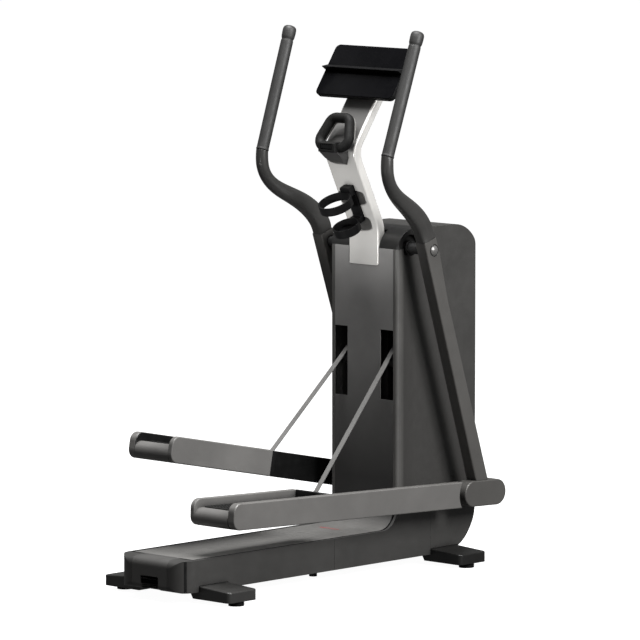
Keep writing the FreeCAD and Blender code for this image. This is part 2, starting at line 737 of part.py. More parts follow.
def handle_solid():
    """Right handle bar, blending from the arm's box section into a round tube."""
    sections = [lean_section(*values) for values in HANDLE_SECTIONS]
    blade = Part.makeLoft(sections, True, False)
    run = (GRIP_END - GRIP_START).normalize()
    core = Part.makeCylinder(14, (GRIP_END - GRIP_START).Length - 6, GRIP_START - run * 3, run)
    return blade.fuse(core)


def grip_solid():
    """Right hand grip: a sleeve over the bar's round end with a knob at its top."""
    run = (GRIP_END - GRIP_START).normalize()
    start = GRIP_START + run * 1.0
    sleeve = Part.makeCylinder(20.5, (GRIP_END - start).Length, start, run)
    knob = Part.makeSphere(22.5, GRIP_END)
    core = Part.makeCylinder(14.05, (GRIP_END - GRIP_START).Length - 5, GRIP_START - run * 4, run)
    blade_end = Part.makeCylinder(24, 30, GRIP_START + run * 1.0, run * -1)
    return sleeve.fuse(knob).cut(core).cut(blade_end)


def arm_solid():
    """Right lower arm: a tapered box section with a bore for its bearing."""
    outline = [(-49, -832), (7, -832), (12.5, -175), (24, -20), (23, 38), (-35, 38), (-38, -160)]
    arm = side_plate(outline, dim("arm_inner"), dim("arm_outer"))
    long_edges = [e for e in arm.Edges if e.BoundBox.XLength < 0.01 and e.BoundBox.ZLength > 30]
    arm = arm.makeFillet(5, long_edges)
    core = side_plate([(-41, -735), (-1, -735), (4.5, -185), (14, -70), (-27, -70), (-30, -160)],
                      dim("arm_inner") + 4, dim("arm_outer") - 4)
    return arm.cut(rod(20, 200, 260, 0, 0)).cut(core)


def stadium(radius, x_from, x_to):
    """Outline of the arm's foot, from the pedal pivot forward, lying along Y."""
    link = dim("foot_link")
    return rod(radius, x_from, x_to, 0, 0).fuse(rod(radius, x_from, x_to, link, 0)).fuse(
        block(x_from, x_to, 0, link, -radius, radius))


def make_arm(name, swing, flip):
    """All pieces that swing with one arm."""
    outer = dim("arm_outer")
    inner = dim("arm_inner")
    foot = stadium(dim("beam_half"), inner, dim("beam_outer"))
    foot = foot.makeFillet(4, [e for e in foot.Edges if e.BoundBox.XLength < 0.01])
    lean = -(dim("swing_right") + dim("pitch_right"))
    foot.Placement = FreeCAD.Placement(V(0, -dim("pivot_back"), -dim("pivot_drop")),
                                       FreeCAD.Rotation(V(1, 0, 0), lean))
    bore = rod(12 + dim("fit"), 190, 245, -dim("pivot_back"), -dim("pivot_drop"))
    pieces = {
        "arm_tube_": arm_solid().cut(foot),
        "handle_bar_": handle_solid().cut(block(190, 300, -60, 60, 0, 38.05)),
        "hand_grip_": grip_solid(),
        "arm_bearing_": tube(20, dim("axle_rad") + dim("fit"), inner + 1, outer - 1, 0, 0),
        "arm_foot_": foot.cut(bore),
    }
    for prefix, shape in pieces.items():
        feature(prefix + name, flip(place_on_arm(shape, swing)))


def on_pedal(shape, pivot, pitch):
    """Moves a shape drawn about the pedal pivot (rearwards is -Y) into the stored pose."""
    shape.Placement = FreeCAD.Placement(V(0, pivot.y, pivot.z), FreeCAD.Rotation(V(1, 0, 0), -pitch))
    return shape


def rail(x_from, x_to, front, inset):
    """Straight rail with rounded rear corners, from a front plane to the beam's rear end."""
    half = dim("beam_half") - inset
    rear = inset - dim("beam_length")
    corner = dim("beam_corner") - inset
    outline = [(-front, -half), (-front, half), (rear, half, corner), (rear, -half, corner)]
    return side_plate(outline, x_from, x_to)


def softened(bar):
    """The rail with its long edges rounded."""
    return bar.makeFillet(3.5, [e for e in bar.Edges if e.BoundBox.XLength < 0.01 and e.BoundBox.YLength > 8])


def make_pedal(name, swing, pitch, flip):
    """Beam, tray, mat and strap fittings of one pedal."""
    radius = dim("beam_half")
    seat = dim("strap_seat")
    side = dim("strap_side")
    lift = dim("strap_lift")
    inner = dim("beam_inner")
    pivot = pedal_pivot(swing)
    beam = softened(rail(inner, dim("beam_outer"), 40, 0)).cut(rod(71, 180, 300, 0, 0))
    beam = beam.cut(rail(inner + 4.5, dim("beam_outer") - 4.5, 200, 4.5))
    tongue = rod(34, 187, 206.4, 0, 0).fuse(block(187, 206.4, 0, -190, -34, 34))
    beam = beam.fuse(tongue).fuse(block(187, inner + 1, -100, -190, -36, 36))
    beam = beam.cut(rod(18, 180, 210, 0, 0))
    wall_front = 20 - dim("tray_front")
    beam = beam.fuse(block(66, inner + 1, -dim("tray_front"), wall_front, -36, 40))
    for ear in (side - 17, side + 13.5):
        beam = beam.fuse(block(ear, ear + 3.5, wall_front - 1, -seat + 7, lift - 12, lift + 7))
    beam = beam.fuse(rod(5, side - 15, side + 15, -seat, lift))
    feature("pedal_beam_" + name, flip(on_pedal(beam, pivot, pitch)))

    front = dim("tray_front") + 0.4
    rail_end = dim("tray_inner") + 18
    tray_rail = softened(rail(dim("tray_inner"), rail_end, front, 0))
    nose = 28.0
    rear = -dim("beam_length")
    floor = side_plate([(-front, -radius), (-front, dim("tray_floor")), (rear, dim("tray_floor"), nose),
                        (rear, -radius, nose)], rail_end - 2, inner - 0.3)
    floor = floor.cut(side_plate([(-front - 5, 5 - radius), (-front - 5, dim("tray_floor") - 5),
                                  (rear + 6, dim("tray_floor") - 5, 22), (rear + 6, 5 - radius, 22)],
                                 rail_end + 4, inner - 5))
    feature("footplate_" + name, flip(on_pedal(tray_rail.fuse(floor), pivot, pitch)))

    mat = plan_plate([(dim("tray_inner") + 22, 34 - dim("beam_length"), 16), (inner - 5, 34 - dim("beam_length"), 16),
                      (inner - 5, -front - 8, 8), (dim("tray_inner") + 22, -front - 8, 8)],
                     dim("tray_floor") + 0.05, dim("tray_floor") + 4)
    feature("foot_mat_" + name, flip(on_pedal(mat, pivot, pitch)))

    hub = rod(12, 187.5, 244, 0, 0).fuse(tube(17.95, 11, 187.5, 206.2, 0, 0))
    feature("pivot_hub_" + name, flip(on_pedal(hub, pivot, pitch)))

    bush = tube(9, 5 + dim("fit"), side - 12.5, side + 12.5, -seat, lift)
    feature("strap_bush_" + name, flip(on_pedal(bush, pivot, pitch)))
    make_strap(name, pivot, pitch, flip)


STRAP_SPARE = 170.0     # strap past the guide pulley in the stored pose


def strap_anchor(pivot, pitch):
    """Place of the strap's pin in the stored pose."""
    local = V(dim("strap_side"), -dim("strap_seat"), dim("strap_lift"))
    return FreeCAD.Rotation(V(1, 0, 0), -pitch).multVec(local) + V(0, pivot.y, pivot.z)


def make_strap(name, pivot, pitch, flip):
    """Flat strap from the pedal's pin, over the guide pulley, ending inside the tower."""
    anchor = strap_anchor(pivot, pitch)
    guide = V(dim("guide_side"), dim("guide_y"), dim("guide_z"))
    reach = V(0, guide.y - anchor.y, guide.z - anchor.z)
    clear = dim("strap_path")
    slope = math.atan2(reach.z, reach.y) + math.asin(clear / reach.Length)
    length = math.sqrt(reach.Length ** 2 - clear ** 2)
    run = V((guide.x - anchor.x) / length, math.cos(slope), math.sin(slope)).normalize()
    wide = dim("strap_wide")
    thick = dim("strap_thick")
    strip = Part.makeBox(wide, thick, length + STRAP_SPARE, V(-wide / 2, -thick / 2, 9.5))
    up = V(0, -math.sin(slope), math.cos(slope))
    side = up.cross(run).normalize()
    up = run.cross(side)
    matrix = FreeCAD.Matrix(side.x, up.x, run.x, anchor.x, side.y, up.y, run.y, anchor.y,
                            side.z, up.z, run.z, anchor.z, 0, 0, 0, 1)
    strip.Placement = FreeCAD.Placement(matrix)
    eye = tube(12, 9.06, anchor.x - wide / 2, anchor.x + wide / 2, anchor.y, anchor.z)
    strip = strip.cut(rod(9.06, anchor.x - 20, anchor.x + 20, anchor.y, anchor.z))
    feature("strap_" + name, flip(eye.fuse(strip)))


def same(shape):
    """The shape itself, for the user's right side."""
    return shape


# ---------------------------------------------------------------- build
make_base_covers()
make_tower_covers()
cut_axle_holes()
make_base_frame()
make_tower_frame()
make_stabilisers()
make_levelling_feet()
make_centre_pad()
make_main_axle()
make_mast()
make_console()
make_loop_handle()
make_bottle_holder()
make_drive()
for side_name, lean, slope, flip in (
    ("right", dim("swing_right"), dim("pitch_right"), same),
    ("left", dim("swing_left"), dim("pitch_left"), mirrored),
):
    make_arm(side_name, lean, flip)
    make_pedal(side_name, lean, slope, flip)

doc.recompute()
for item in doc.Objects:
    if "Invalid" in item.State or "Error" in item.State:
        raise RuntimeError(f"{item.Label} failed: {item.State}")
for item in PARTS:
    if item.Shape.isNull() or not item.Shape.isValid():
        raise RuntimeError(f"{item.Label} has no valid shape")
    if item.Shape.Volume <= 0 or not item.Shape.Solids:
        raise RuntimeError(f"{item.Label} has no solid")

os.makedirs("parts", exist_ok=True)
for item in PARTS:
    item.Shape.exportStep(f"parts/{item.Label}.step")
    solid_count = len(item.Shape.Solids)
    print(f"{item.Label:30s} solids {solid_count} volume {item.Shape.Volume / 1000:.1f} cm3")
print(len(PARTS), "parts")
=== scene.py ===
import json
import math

import bmesh
import bpy
from mathutils import Matrix, Vector


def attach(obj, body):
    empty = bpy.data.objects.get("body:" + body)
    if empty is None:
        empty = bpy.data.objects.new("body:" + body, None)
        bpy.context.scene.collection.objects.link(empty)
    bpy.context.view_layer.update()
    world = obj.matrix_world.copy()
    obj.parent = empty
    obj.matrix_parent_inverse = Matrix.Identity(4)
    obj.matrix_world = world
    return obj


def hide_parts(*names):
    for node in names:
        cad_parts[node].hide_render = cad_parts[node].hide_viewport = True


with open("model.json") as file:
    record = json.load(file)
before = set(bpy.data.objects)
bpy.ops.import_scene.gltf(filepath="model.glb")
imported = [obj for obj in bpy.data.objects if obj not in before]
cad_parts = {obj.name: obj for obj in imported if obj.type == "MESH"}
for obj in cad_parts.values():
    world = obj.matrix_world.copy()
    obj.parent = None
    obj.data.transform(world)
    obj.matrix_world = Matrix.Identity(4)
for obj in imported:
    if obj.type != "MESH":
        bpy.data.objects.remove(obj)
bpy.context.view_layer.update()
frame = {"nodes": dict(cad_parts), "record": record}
nodes = frame["nodes"]
scene = bpy.context.scene


# ---------------------------------------------------------------- material helpers
class Nodes:
    """Short calls for building a node tree."""

    def __init__(self, name):
        self.material = bpy.data.materials.new(name)
        self.material.use_nodes = True
        self.tree = self.material.node_tree
        self.shader = self.tree.nodes["Principled BSDF"]

    def add(self, kind, **values):
        node = self.tree.nodes.new(kind)
        for key, value in values.items():
            if hasattr(node, key):
                setattr(node, key, value)
            else:
                node.inputs[key].default_value = value
        return node

    def link(self, source, target):
        self.tree.links.new(source, target)

    def math(self, operation, first, second=0.0):
        node = self.tree.nodes.new("ShaderNodeMath")
        node.operation = operation
        for socket, value in zip(node.inputs, (first, second)):
            if isinstance(value, (int, float)):
                socket.default_value = value
            else:
                self.link(value, socket)
        return node.outputs[0]

    def position(self):
        if not hasattr(self, "_position"):
            self._position = self.tree.nodes.new("ShaderNodeTexCoord").outputs["Object"]
        return self._position

    def along(self, direction):
        """Distance of the point from the origin, measured along a direction."""
        dot = self.add("ShaderNodeVectorMath", operation="DOT_PRODUCT")
        self.link(self.position(), dot.inputs[0])
        dot.inputs[1].default_value = Vector(direction).normalized()
        return dot.outputs["Value"]

    def noise(self, scale, detail):
        node = self.add("ShaderNodeTexNoise", Scale=scale, Detail=detail, Roughness=0.55)
        self.link(self.position(), node.inputs["Vector"])
        return node.outputs["Fac"]

    def across(self):
        """Distance of the point from the middle plane."""
        return self.math("ABSOLUTE", self.along((1, 0, 0)))

    def spread(self, value, low, high, to_low=0.0, to_high=1.0):
        node = self.add("ShaderNodeMapRange")
        limits = {"From Min": low, "From Max": high, "To Min": to_low, "To Max": to_high}
        for name, number in limits.items():
            node.inputs[name].default_value = number
        self.link(value, node.inputs["Value"])
        return node.outputs[0]

    def blend(self, factor, first, second):
        node = self.add("ShaderNodeMix", data_type="RGBA")
        sockets = (node.inputs[0], node.inputs[6], node.inputs[7])
        for socket, value in zip(sockets, (factor, first, second)):
            if isinstance(value, bpy.types.NodeSocket):
                self.link(value, socket)
            elif isinstance(value, (int, float)):
                socket.default_value = value
            else:
                socket.default_value = (*value, 1.0)
        return node.outputs[2]

    def inside(self, value, low, high, soft):
        """1 where a value is between two limits."""
        above = self.spread(value, low - soft, low + soft)
        below = self.spread(value, high - soft, high + soft, 1.0, 0.0)
        return self.math("MULTIPLY", above, below)

    def bump(self, height, distance, edge):
        """Bump from a height, over a rounding of sharp edges."""
        bevel = self.add("ShaderNodeBevel", samples=4, Radius=edge)
        node = self.add("ShaderNodeBump", Strength=1.0, Distance=distance)
        self.link(height, node.inputs["Height"])
        self.link(bevel.outputs[0], node.inputs["Normal"])
        self.link(node.outputs[0], self.shader.inputs["Normal"])


DRIFT_SCALE = 5.0           # noise sizes, per metre
SMEAR_SCALE = 38.0
SPECK_SHARE = 0.35          # speck size against the grain's
CREASE_SHADE_REACH = 0.03         # how far the painted shade of a crease reaches over the surface beside it, metres


def finish_plastic(name, color, rough, grain=2200.0, depth=0.00006, edge=0.0012, tint=0.12, coat=0.0,
                   metal=0.0, painted_shades=None, sheen=0.4):
    """Moulded or coated surface: grain, specks, slow drift of tone, uneven polish, painted shade in
    creases, and places of painted shade.
    """
    n = Nodes(name)
    drift = n.noise(DRIFT_SCALE, 4.0)
    height = n.noise(grain, 2.0)
    lighter = [c * (1 + tint) for c in color]
    darker = [c * (1 - tint) for c in color]
    shade = n.blend(n.spread(drift, 0.35, 0.65), darker, lighter)
    speck = n.spread(n.noise(grain * SPECK_SHARE, 1.0), 0.60, 0.72, 0.0, 0.16)
    shade = n.blend(speck, shade, [c * 1.6 + 0.01 for c in color])
    # Painted shade: ambient occlusion darkens the colour in creases and where other parts come close.
    crease = n.add("ShaderNodeAmbientOcclusion", samples=6, Distance=CREASE_SHADE_REACH)
    openness = n.spread(crease.outputs["AO"], 0.35, 0.85)
    shade = n.blend(openness, [c * 0.25 for c in color], shade)
    # Painted shade: each of these masks darkens the colour where shade falls on the piece.
    if painted_shades:
        for mask, shade_color in painted_shades(n):
            shade = n.blend(mask, shade, shade_color)
    n.link(shade, n.shader.inputs["Base Color"])
    smear = n.noise(SMEAR_SCALE, 5.0)
    n.link(n.spread(smear, 0.3, 0.7, rough - 0.06, rough + 0.07), n.shader.inputs["Roughness"])
    n.shader.inputs["Metallic"].default_value = metal
    n.shader.inputs["Coat Weight"].default_value = coat
    n.shader.inputs["Specular IOR Level"].default_value = sheen
    n.shader.inputs["Coat Roughness"].default_value = 0.25
    n.bump(height, depth, edge)
    return n.material


def paint(material, *names):
    """Gives a material to every slot of CAD nodes."""
    for name in names:
        mesh = nodes[name].data
        if not mesh.materials:
            mesh.materials.append(material)
        for index in range(len(mesh.materials)):
            mesh.materials[index] = material


# ---------------------------------------------------------------- places taken from the model
JOINTS = {joint["name"]: joint for joint in frame["record"]["behaviour"]["joints"]}


def place(joint):
    """A joint's position in the row frame."""
    return Vector(JOINTS[joint]["pos_m"])


# ---------------------------------------------------------------- pieces
# Each inlay line of the base's lid: start (x, y), end (x, y), half width; metres.
LID_LINES = [
    ((-0.127, 0.143), (-0.079, 0.149), 0.0009),
    ((-0.075, -0.048), (0.039, -0.047), 0.0009),
    ((-0.074, -0.002), (0.036, 0.011), 0.0009),
    ((0.026, 0.133), (0.056, 0.130), 0.0010),
    ((0.051, 0.063), (0.091, 0.055), 0.0009),
]
LID_DASH = ((-0.060, 0.135), (0.018, 0.137), 0.0021)
INLAY_LEVEL = 0.1401        # just above the lid's top
INLAY_RAISE = 0.00025
END_STEPS = 6               # facets of each rounded end

AXLE_Y = 0.341
AXLE_Z = 1.052
SWING = {"right": math.radians(18.5), "left": math.radians(20.2)}
PITCH = {"right": math.radians(2.1), "left": math.radians(11.2)}

# Ends of the right grip's axis from the main axle, with the arm upright.
GRIP_START = Vector((0.273, -0.134, 0.380))
GRIP_END = Vector((0.273, 0.116, 0.692))
# Grip outline: distance along the grip, radius.
GRIP_PROFILE = [
    (0.0012, 0.0150), (0.0012, 0.0205), (0.0025, 0.0211), (0.0060, 0.0211), (0.0078, 0.0203),
    (0.0350, 0.0203), (0.1200, 0.0206), (0.2400, 0.0207), (0.3600, 0.0204), (0.3700, 0.0201),
    (0.3735, 0.0190), (0.3755, 0.0190), (0.3785, 0.0206), (0.3850, 0.0217), (0.3980, 0.0223),
    (0.4090, 0.0220), (0.4160, 0.0195), (0.4200, 0.0140), (0.4218, 0.0070), (0.4222, 0.0),
]
GRIP_SEGMENTS = 56
SLEEVE_LOW = 0.0078         # the sleeve between collar and groove carries the rings
SLEEVE_HIGH = 0.37
RING_PITCH = 0.0022
RING_DEPTH = 0.00022
TIP_RADIUS = 0.0004

# Foot mat: across from the middle plane, back and up from the pedal's pivot.
MAT_LOW = 0.01505
MAT_TOP = 0.019
MAT_INNER = 0.084
MAT_OUTER = 0.223
MAT_REAR = 1.091
MAT_FRONT = 0.6704
REAR_CORNER = 0.016
FRONT_CORNER = 0.008
CORNER_STEPS = 5
PLATE_DROP = 0.0012         # the plate's top below the studs' tops
PLATE_BEVEL = 0.0010
STUD_ROWS = 24
STUD_COLUMNS = 9
STUD_PITCH = 0.0140
STUD_HALF = (0.0050, 0.0030)
STUD_RISE = 0.0016
STUD_BEVEL = 0.0006
ROW_START = 0.018
ROW_SPARE = 0.044
COLUMN_START = 0.0125
COLUMN_SHIFT = (-0.0015, 0.0035)


def close_band(work, low, high):
    """Joins two rings of vertices with faces."""
    count = len(low)
    for k in range(count):
        following = (k + 1) % count
        work.faces.new((low[k], low[following], high[following], high[k]))


def finished_mesh(name, work, material, body, smooth=False):
    """Turns a bmesh into an object that rides on a body."""
    bmesh.ops.recalc_face_normals(work, faces=work.faces)
    for face in work.faces:
        face.smooth = smooth
    mesh = bpy.data.meshes.new(name)
    work.to_mesh(mesh)
    work.free()
    mesh.materials.append(material)
    obj = bpy.data.objects.new(name, mesh)
    scene.collection.objects.link(obj)
    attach(obj, body)
    return obj


def flat_strip(name, start, end, half, material):
    """Thin inlay strip lying on the lid, with rounded ends and a slightly raised face."""
    a = Vector((*start, INLAY_LEVEL))
    b = Vector((*end, INLAY_LEVEL))
    run = (b - a).normalized()
    side = Vector((-run.y, run.x, 0))
    outline = []
    for centre, turn in ((b, -90), (a, 90)):
        for step in range(END_STEPS + 1):
            angle = math.radians(turn + 180 / END_STEPS * step)
            outline.append(centre + run * math.cos(angle) * half + side * math.sin(angle) * half)
    work = bmesh.new()
    low = [work.verts.new(point) for point in outline]
    high = [work.verts.new(point + Vector((0, 0, INLAY_RAISE))) for point in outline]
    close_band(work, low, high)
    work.faces.new(high)
    finished_mesh(name, work, material, "frame")


def ringed_profile():
    """The grip's outline with fine rings in its sleeve."""
    profile = []
    for (low, r_low), (high, r_high) in zip(GRIP_PROFILE, GRIP_PROFILE[1:]):
        in_sleeve = SLEEVE_LOW <= low < SLEEVE_HIGH
        parts = max(1, int((high - low) / RING_PITCH)) if in_sleeve else 1
        for part in range(parts):
            share = part / parts
            ring = RING_DEPTH if part % 2 and parts > 4 else 0.0
            profile.append((low + (high - low) * share, r_low + (r_high - r_low) * share - ring))
    profile.append((GRIP_PROFILE[-1][0], TIP_RADIUS))
    return profile


def hand_grip(side, material):
    """Rubber grip: a turned sleeve with a collar and a groove under its bulbous end."""
    sign = 1 if side == "right" else -1
    turn = Matrix.Rotation(SWING[side], 3, "X")
    run = (GRIP_END - GRIP_START).normalized()
    across = Vector((1, 0, 0))
    up = run.cross(across)
    work = bmesh.new()
    rings = []
    for along, radius in ringed_profile():
        centre = GRIP_START + run * along
        ring = []
        for k in range(GRIP_SEGMENTS):
            angle = 2 * math.pi * k / GRIP_SEGMENTS
            local = centre + (across * math.cos(angle) + up * math.sin(angle)) * radius
            point = turn @ Vector((0, local.y, local.z))
            ring.append(work.verts.new((sign * local.x, point.y + AXLE_Y, point.z + AXLE_Z)))
        rings.append(ring)
    for low, high in zip(rings, rings[1:]):
        close_band(work, low, high)
    work.faces.new(rings[-1])
    obj = finished_mesh("grip_" + side, work, material, "arm_" + side, smooth=True)
    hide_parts("hand_grip_" + side)


def slab(work, at, outline, low, high, inset):
    """Plate over an outline, with a bevelled rim; at() gives a point's place in the frame."""
    count = len(outline)
    middle_x = sum(p[0] for p in outline) / count
    middle_y = sum(p[1] for p in outline) / count
    bottom = [work.verts.new(at(x, y, low)) for x, y in outline]
    rim = [work.verts.new(at(x, y, high - inset)) for x, y in outline]
    top = []
    for x, y in outline:
        out = Vector((x - middle_x, y - middle_y)).normalized() * inset
        top.append(work.verts.new(at(x - out.x, y - out.y, high)))
    close_band(work, bottom, rim)
    close_band(work, rim, top)
    work.faces.new(top)


def mat_outline():
    """The mat's outline in (across, back), with rounded corners."""
    corners = [
        (MAT_INNER + REAR_CORNER, MAT_REAR - REAR_CORNER, REAR_CORNER, 180),
        (MAT_OUTER - REAR_CORNER, MAT_REAR - REAR_CORNER, REAR_CORNER, 90),
        (MAT_OUTER - FRONT_CORNER, MAT_FRONT + FRONT_CORNER, FRONT_CORNER, 0),
        (MAT_INNER + FRONT_CORNER, MAT_FRONT + FRONT_CORNER, FRONT_CORNER, 270),
    ]
    outline = []
    for x, y, radius, start in corners:
        for step in range(CORNER_STEPS + 1):
            angle = math.radians(start - 90 / CORNER_STEPS * step)
            outline.append((x + radius * math.cos(angle), y + radius * math.sin(angle)))
    return outline


def tread_mat(side, material):
    """Foot mat: a plate with a bevelled rim and rows of low lozenge studs."""
    sign = 1 if side == "right" else -1
    pivot = place("pedal_pitch_" + side)
    turn = Matrix.Rotation(-PITCH[side], 3, "X")

    def at(x, back, up):
        point = turn @ Vector((0, -back, up))
        return (sign * x, pivot.y + point.y, pivot.z + point.z)

    work = bmesh.new()
    slab(work, at, mat_outline(), MAT_LOW, MAT_TOP - PLATE_DROP, PLATE_BEVEL)
    half_x, half_y = STUD_HALF
    for row in range(STUD_ROWS):
        y = MAT_FRONT + ROW_START + (MAT_REAR - MAT_FRONT - ROW_SPARE) * row / (STUD_ROWS - 1)
        for column in range(STUD_COLUMNS):
            x = MAT_INNER + COLUMN_START + STUD_PITCH * column + COLUMN_SHIFT[row % 2]
            lozenge = [(x - half_x, y), (x, y + half_y), (x + half_x, y), (x, y - half_y)]
            slab(work, at, lozenge, MAT_TOP - STUD_RISE, MAT_TOP, STUD_BEVEL)
    obj = finished_mesh("mat_" + side, work, material, "pedal_" + side)
    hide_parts("foot_mat_" + side)


# ---------------------------------------------------------------- painted shade, by place on the machine
# Each painted shade is a mask and its colour; each pair of numbers runs from mask 0 to mask 1, in
# metres.
UP = (0, 0, 1)
FORWARD = (0, 1, 0)
LID_RISE = (0.142, 0.20)
LID_EDGE = (0.1300, 0.1306)
LID_REAR = (-0.6485, -0.6495)
PANEL_FALL = (1.02, 0.30)
GROOVE_LIMITS = (0.1332, 0.1388)
GROOVE_SOFT = 0.0003
GROOVE_LEVEL = (0.1380, 0.1390)
RECESS_DEPTH = (0.1400, 0.1465)
RECESS_BACK = (0.298, 0.320)
BEAM_INNER = (0.2288, 0.2300)
MAST_BEND = (1.368, 1.378)
MAST_FACE = (0.0585, 0.0605)
SHADE_BLACK = (0.002, 0.002, 0.002)


def lid_painted_shade(n):
    """Painted shade: the lid darkens up its sweep into the tower, and its long edges and rear edge, down
    into the joint around it, are painted black for the shade in that joint.
    """
    rise = n.spread(n.along(UP), *LID_RISE)
    edge = n.spread(n.across(), *LID_EDGE)
    rear = n.spread(n.along(FORWARD), *LID_REAR)
    return [(rise, (0.020, 0.0195, 0.019)), (edge, SHADE_BLACK), (rear, (0.004, 0.004, 0.004))]


def panel_painted_shade(n):
    """Painted shade: the tower panel darkens gently from its top to its foot."""
    return [(n.spread(n.along(UP), *PANEL_FALL), (0.026, 0.0255, 0.0249))]


def groove_painted_shade(n):
    """Painted shade: the bottom of the joint around the lid is painted black for the shade in that
    narrow gap.
    """
    strip = n.inside(n.across(), *GROOVE_LIMITS, GROOVE_SOFT)
    low = n.spread(n.along(UP), *GROOVE_LEVEL, 1.0, 0.0)
    return [(n.math("MULTIPLY", strip, low), SHADE_BLACK)]


def recess_painted_shade(n):
    """Painted shade: the hollow behind the swinging arm is a little darker than the column around it."""
    deep = n.spread(n.across(), *RECESS_DEPTH, 1.0, 0.0)
    ahead = n.spread(n.along(FORWARD), *RECESS_BACK)
    return [(n.math("MULTIPLY", deep, ahead), (0.034, 0.033, 0.0315))]


def beam_painted_shade(n):
    """Painted shade: the inner sides of the beams, facing each other, are painted black."""
    return [(n.spread(n.across(), *BEAM_INNER, 1.0, 0.0), (0.004, 0.004, 0.004))]


def mast_painted_shade(n):
    """Painted shade: the mast's user-facing plate is darker above its bend, where it turns to face
    downwards.
    """
    height = n.spread(n.along(UP), *MAST_BEND)
    face = n.spread(n.across(), *MAST_FACE, 1.0, 0.0)
    return [(n.math("MULTIPLY", height, face), (0.105, 0.103, 0.10))]


# ---------------------------------------------------------------- materials
# name: colour, roughness, then what differs from finish_plastic's own values.
COATED = {"grain": 3600.0, "depth": 0.00004, "edge": 0.0022, "tint": 0.08, "coat": 0.15, "metal": 0.2}
FINISHES = {
    "shell_charcoal": ((0.060, 0.0585, 0.056), 0.44, {"edge": 0.0016, "painted_shades": recess_painted_shade}),
    "base_charcoal": ((0.035, 0.0341, 0.0328), 0.42, {"edge": 0.0010, "painted_shades": groove_painted_shade}),
    "tail_charcoal": ((0.052, 0.0507, 0.0489), 0.46, {"edge": 0.0010}),
    "cowl_charcoal": ((0.036, 0.0350, 0.0335), 0.44, {"edge": 0.0016}),
    "panel_dark": ((0.170, 0.167, 0.163), 0.40, {"edge": 0.0014, "painted_shades": panel_painted_shade}),
    "lid_dark": ((0.115, 0.1125, 0.108), 0.42, {"edge": 0.0014, "painted_shades": lid_painted_shade}),
    "graphite_coat": ((0.135, 0.131, 0.126), 0.36, {**COATED, "painted_shades": beam_painted_shade}),
    "arm_coat": ((0.075, 0.0725, 0.069), 0.36, COATED),
    "handle_coat": ((0.034, 0.0332, 0.032), 0.34,
                    {**COATED, "edge": 0.002, "coat": 0.2, "metal": 0.1}),
    "foot_coat": ((0.030, 0.0295, 0.0285), 0.33,
                  {"grain": 3000.0, "depth": 0.00004, "edge": 0.0030, "tint": 0.1, "coat": 0.25,
                   "metal": 0.15}),
    # Painted shade: the front foot's coat is a darker copy of the rear foot's, for the tower's shadow on
    # it.
    "front_foot_shaded_coat": ((0.008, 0.0078, 0.0075), 0.36,
                        {"grain": 3000.0, "depth": 0.00004, "edge": 0.0030, "tint": 0.1,
                         "coat": 0.1}),
    "shoulder_charcoal": ((0.010, 0.0098, 0.0095), 0.42, {"edge": 0.0022}),
    "black_coat": ((0.012, 0.012, 0.012), 0.45, {"grain": 3000.0, "depth": 0.00005, "edge": 0.001}),
    "silver_coat": ((0.52, 0.51, 0.49), 0.34,
                    {"grain": 4200.0, "depth": 0.00003, "edge": 0.0020, "tint": 0.04, "coat": 0.1,
                     "metal": 0.2, "painted_shades": mast_painted_shade}),
    "black_plastic": ((0.005, 0.005, 0.0052), 0.42,
                      {"grain": 2600.0, "depth": 0.00005, "sheen": 0.12}),
    "bracket_grey": ((0.045, 0.044, 0.043), 0.40,
                     {"grain": 2600.0, "depth": 0.00005, "edge": 0.0015}),
    "tray_plastic": ((0.112, 0.109, 0.105), 0.42, {"grain": 2400.0, "edge": 0.0022}),
    "rubber_black": ((0.007, 0.0069, 0.0067), 0.6,
                     {"grain": 1500.0, "depth": 0.00012, "edge": 0.001, "sheen": 0.12}),
    "grip_rubber": ((0.017, 0.0167, 0.0163), 0.55,
                    {"grain": 1300.0, "depth": 0.00016, "edge": 0.001}),
    "gloss_black": ((0.0025, 0.0025, 0.0029), 0.14,
                    {"grain": 900.0, "depth": 0.000004, "edge": 0.001, "tint": 0.2, "sheen": 0.03}),
    "turned_steel": ((0.10, 0.10, 0.10), 0.30,
                     {"grain": 3200.0, "depth": 0.00003, "edge": 0.0005, "tint": 0.05, "metal": 0.8}),
    "cap_coat": ((0.14, 0.137, 0.133), 0.30,
                 {"grain": 3000.0, "depth": 0.00003, "edge": 0.001, "tint": 0.05, "coat": 0.2,
                  "metal": 0.4}),
    "turned_iron": ((0.10, 0.10, 0.102), 0.4,
                    {"grain": 1800.0, "edge": 0.0008, "tint": 0.1, "metal": 0.6}),
    "strap_grey": ((0.105, 0.103, 0.10), 0.55, {"grain": 1800.0, "depth": 0.00008, "edge": 0.0004}),
    "inlay_grey": ((0.20, 0.198, 0.192), 0.4, {"grain": 1800.0, "depth": 0.00002}),
    "inlay_red": ((0.50, 0.010, 0.008), 0.38, {"grain": 1800.0, "depth": 0.00002}),
    "sensor_grey": ((0.22, 0.215, 0.205), 0.34,
                    {"grain": 3600.0, "depth": 0.00003, "edge": 0.001, "tint": 0.04, "coat": 0.1,
                     "metal": 0.3}),
}
finish = {}
for name, (color, rough, options) in FINISHES.items():
    finish[name] = finish_plastic(name, color, rough, **options)

